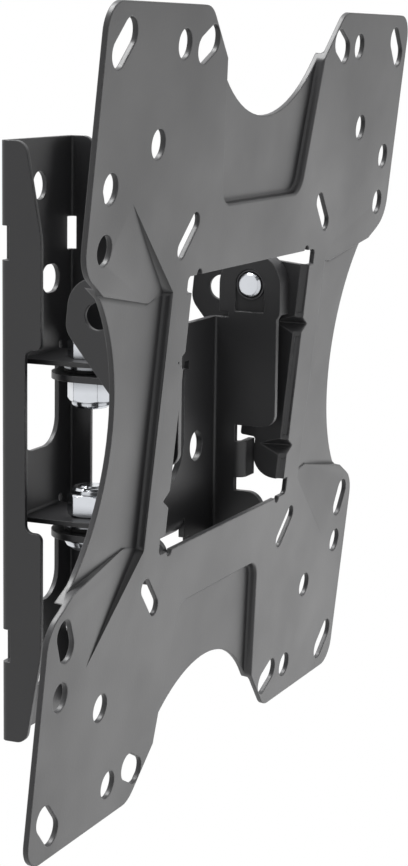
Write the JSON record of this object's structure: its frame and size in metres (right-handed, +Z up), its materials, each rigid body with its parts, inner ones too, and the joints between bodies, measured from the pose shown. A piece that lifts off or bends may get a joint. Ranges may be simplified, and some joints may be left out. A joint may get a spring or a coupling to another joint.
{
  "type": "tv wall mount",
  "caption": "Tilting and swivelling wall mount for a flat screen: a pressed plate hangs on a folded yoke that turns on a wall channel.",
  "frame": {"origin": "centre of the wall plate's back face, on the wall", "axes": "+Z up along the wall, -Y out of the wall towards the screen, +X to the right for someone who faces the front plate"},
  "size_m": [0.22, 0.0786, 0.2189],
  "materials": {
    "coated_steel": "satin charcoal powder coat on folded steel sheet",
    "zinc_steel": "bright zinc plate",
    "nylon": "black nylon"
  },
  "bodies": {
    "wall": {"wall_plate": "coated_steel", "upper_swivel_bolt": "zinc_steel", "upper_lock_nut": "zinc_steel", "upper_nylon_ring": "nylon", "upper_steel_washer": "zinc_steel", "upper_slip_washer": "nylon", "lower_swivel_bolt": "zinc_steel", "lower_lock_nut": "zinc_steel", "lower_nylon_ring": "nylon", "lower_steel_washer": "zinc_steel", "lower_slip_washer": "nylon"},
    "yoke": {"swivel_yoke": "coated_steel", "left_threaded_insert": "zinc_steel", "left_friction_bush": "nylon", "left_tilt_washer": "zinc_steel", "left_tilt_bolt": "zinc_steel", "right_threaded_insert": "zinc_steel", "right_friction_bush": "nylon", "right_tilt_washer": "zinc_steel", "right_tilt_bolt": "zinc_steel"},
    "plate": {"vesa_plate": "coated_steel"}
  },
  "joints": [
    {"name": "swivel", "type": "hinge", "parent": "wall", "child": "yoke", "pos_m": [0, -0.0189, 0], "axis": [0, 0, 1], "range_deg": [-25, 25]},
    {"name": "tilt", "type": "hinge", "parent": "yoke", "child": "plate", "pos_m": [0, -0.05505, 0.0457], "axis": [1, 0, 0], "range_deg": [-12, 0]}
  ]
}
